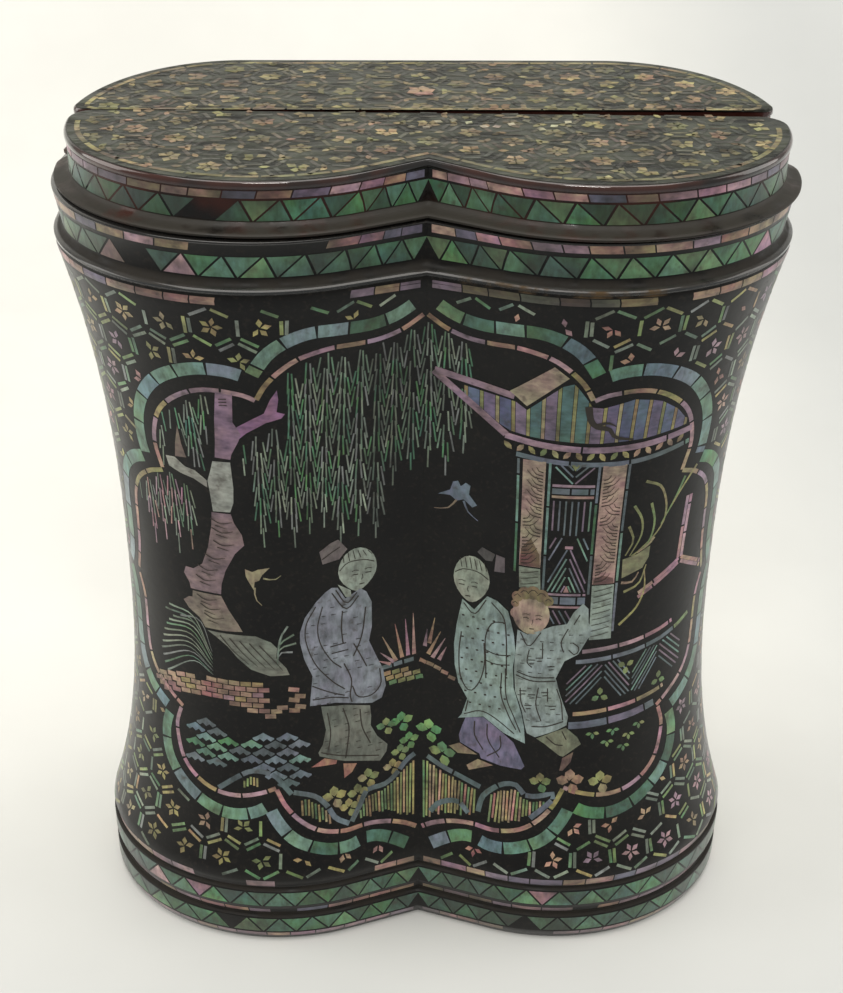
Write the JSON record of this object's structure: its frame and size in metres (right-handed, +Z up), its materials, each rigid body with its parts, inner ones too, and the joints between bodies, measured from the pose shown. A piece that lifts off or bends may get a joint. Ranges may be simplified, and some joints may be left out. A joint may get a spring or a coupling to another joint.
{
  "type": "inlaid lacquer box",
  "caption": "Tall waisted lacquer box with two round front lobes, a flat back, shell inlay and two lift-off half lids.",
  "frame": {"origin": "middle of the underside, on the surface that the box stands on", "axes": "+Z up, -Y towards the lobed front with the picture, +X to the right seen from the front"},
  "size_m": [0.16, 0.082, 0.2027],
  "materials": {
    "body_lacquer": "black lacquer over wood, glossy, dusty in the hollows",
    "lid_lacquer": "grey-green to black lacquer over wood, rippled and glossy",
    "green_shell": "iridescent green shell inlay, polished flush",
    "pink_shell": "iridescent pink and tan shell inlay, polished flush"
  },
  "bodies": {
    "root": {"body": "body_lacquer", "front_lid": "lid_lacquer", "rear_lid": "lid_lacquer"}
  },
  "joints": []
}
